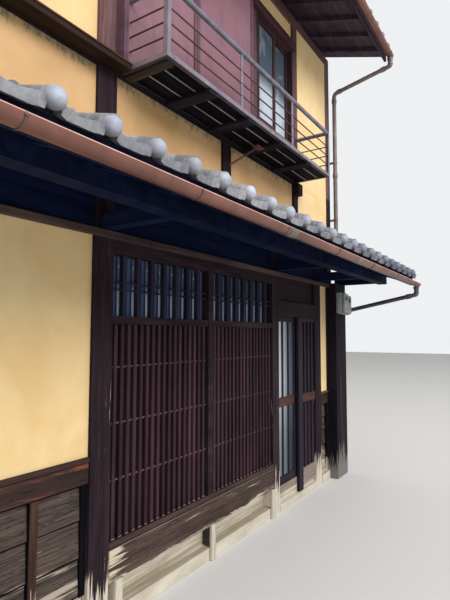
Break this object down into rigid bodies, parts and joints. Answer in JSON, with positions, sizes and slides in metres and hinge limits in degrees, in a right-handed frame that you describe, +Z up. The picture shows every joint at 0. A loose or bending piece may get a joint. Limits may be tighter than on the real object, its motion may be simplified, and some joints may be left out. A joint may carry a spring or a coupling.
{
  "type": "machiya townhouse",
  "caption": "Two-storey timber row house with a lattice front, sliding door, tiled pent roof, small steel balcony and shutter box between plain party walls.",
  "frame": {"origin": "on the ground at the centre of the plan between the post faces and party walls", "axes": "+X along the street to the right of someone facing the front, +Y from the street into the house, +Z up"},
  "size_m": [5.65, 9.4974, 6.1656],
  "materials": {
    "dark_wood": "satin",
    "worn_wood": "matte",
    "yellow_plaster": "matte",
    "grey_plaster": "matte",
    "curb_stone": "matte",
    "earth_floor": "matte",
    "roof_tile": "satin",
    "gutter_paint": "satin",
    "pipe_paint": "satin",
    "balcony_paint": "satin",
    "shutter_sheet": "satin",
    "meter_plastic": "matte",
    "window_glass": "gloss"
  },
  "bodies": {
    "house": {"curb": "curb_stone", "door_step": "curb_stone", "threshold": "dark_wood", "ground_floor": "earth_floor", "upper_floor": "dark_wood", "party_wall_left": "grey_plaster", "party_wall_right": "grey_plaster", "front_posts": "dark_wood", "rear_posts": "dark_wood", "beams": "dark_wood", "plaster_lower": "yellow_plaster", "plaster_upper": "yellow_plaster", "plaster_rear": "yellow_plaster", "wainscot_front": "worn_wood", "wainscot_rear": "worn_wood", "head_batten": "dark_wood", "lattice_frame": "dark_wood", "lattice_left": "dark_wood", "lattice_right": "dark_wood", "lattice_upper": "dark_wood", "lattice_glass": "window_glass", "sill_board": "worn_wood", "door_header": "dark_wood", "side_lattice": "dark_wood", "pilaster": "dark_wood", "meter_boxes": "meter_plastic", "lower_roof_frame": "dark_wood", "lower_tiles": "roof_tile", "lower_gutter": "gutter_paint", "downpipes": "pipe_paint", "ledge": "worn_wood", "balcony_frame": "balcony_paint", "balcony_deck": "worn_wood", "balcony_rail": "balcony_paint", "balcony_returns": "balcony_paint", "shutter_box": "shutter_sheet", "upper_window": "dark_wood", "upper_glass": "window_glass", "upper_roof_frame": "dark_wood", "upper_tiles": "roof_tile", "ridge": "roof_tile", "upper_gutter": "gutter_paint", "rear_windows": "dark_wood", "rear_glass": "window_glass"},
    "door": {"door_leaf": "dark_wood", "door_glass": "window_glass"}
  },
  "joints": [
    {"name": "door_slide", "type": "slide", "parent": "house", "child": "door", "axis": [1, 0, 0], "range_m": [0, 0.37]}
  ]
}
